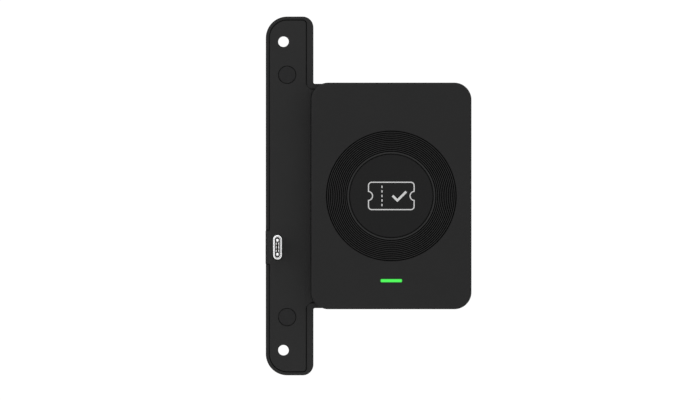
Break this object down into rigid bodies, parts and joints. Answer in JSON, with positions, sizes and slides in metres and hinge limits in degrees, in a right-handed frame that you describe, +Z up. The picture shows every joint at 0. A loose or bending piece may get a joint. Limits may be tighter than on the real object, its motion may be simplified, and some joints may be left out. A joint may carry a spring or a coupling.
{
  "type": "ticket validator",
  "caption": "Contactless ticket reader head with a grooved round target and a green light, on a slim screw-on bar with a standing metal plug.",
  "frame": {"origin": "half way between the two mounting holes, on the bar's front face, where the host terminal lies", "axes": "+X from the bar towards the reader head, +Y backwards, away from the passenger, +Z up along the bar"},
  "size_m": [0.0769, 0.0175, 0.1342],
  "materials": {
    "case_plastic": "fine spark texture, dark grey polycarbonate",
    "ring_plastic": "satin black, machined-looking grooves",
    "disc_plastic": "smooth matt, dark grey",
    "print_ink": "light grey pad print",
    "lens_green": "clear polycarbonate, lit green",
    "black_rubber": "matt",
    "steel": "brushed",
    "bright_steel": "bright nickel plate",
    "black_steel": "black zinc",
    "brass": "turned",
    "gold_contact": "gold plate",
    "circuit_board": "green solder mask on glass fibre",
    "chip_black": "moulded epoxy",
    "component_mix": "ceramic with tinned ends",
    "copper_track": "etched copper",
    "ferrite": "flexible ferrite sheet",
    "foam": "open-cell foam",
    "adhesive": "double-sided tape",
    "amber_film": "polyimide film",
    "ribbon_white": "polyester-jacketed flat cable",
    "connector_cream": "moulded nylon",
    "led_lens": "silicone over phosphor",
    "insulator_black": "moulded liquid-crystal polymer"
  },
  "bodies": {
    "reader": {"rear_housing": "case_plastic", "head_cover": "case_plastic", "bar_cover": "case_plastic", "head_gasket": "black_rubber", "ring_insert": "ring_plastic", "symbol_disc": "disc_plastic", "disc_adhesive": "adhesive", "ticket_symbol": "print_ink", "light_pipe": "lens_green", "light_shroud": "black_rubber", "status_leds": "led_lens", "bar_screws": "steel", "bar_inserts": "brass", "mounting_sleeves": "steel", "head_screws": "black_steel", "head_inserts": "brass", "stiffener_plate": "steel", "stiffener_screws": "steel", "plug_board": "circuit_board", "plug_board_screws": "steel", "insulating_film": "amber_film", "plug_collar": "bright_steel", "plug_shell": "bright_steel", "plug_insulator": "insulator_black", "plug_contacts": "gold_contact", "plug_latches": "bright_steel", "plug_springs": "bright_steel", "plug_socket": "connector_cream", "ribbon_cable": "ribbon_white", "board_socket": "connector_cream", "main_board": "circuit_board", "board_screws": "steel", "shield_can": "bright_steel", "control_chips": "chip_black", "small_parts": "component_mix", "crystal_can": "bright_steel", "buzzer": "chip_black", "antenna_board": "circuit_board", "antenna_coil": "copper_track", "antenna_pins": "gold_contact", "ferrite_sheet": "ferrite", "foam_pad": "foam"},
    "upper_cap": {"screw_cap_upper": "black_rubber"},
    "lower_cap": {"screw_cap_lower": "black_rubber"}
  },
  "joints": [
    {"name": "upper_cap_pull", "type": "slide", "parent": "reader", "child": "upper_cap", "axis": [0, -1, 0], "range_m": [0, 0.008]},
    {"name": "lower_cap_pull", "type": "slide", "parent": "reader", "child": "lower_cap", "axis": [0, -1, 0], "range_m": [0, 0.008]}
  ]
}
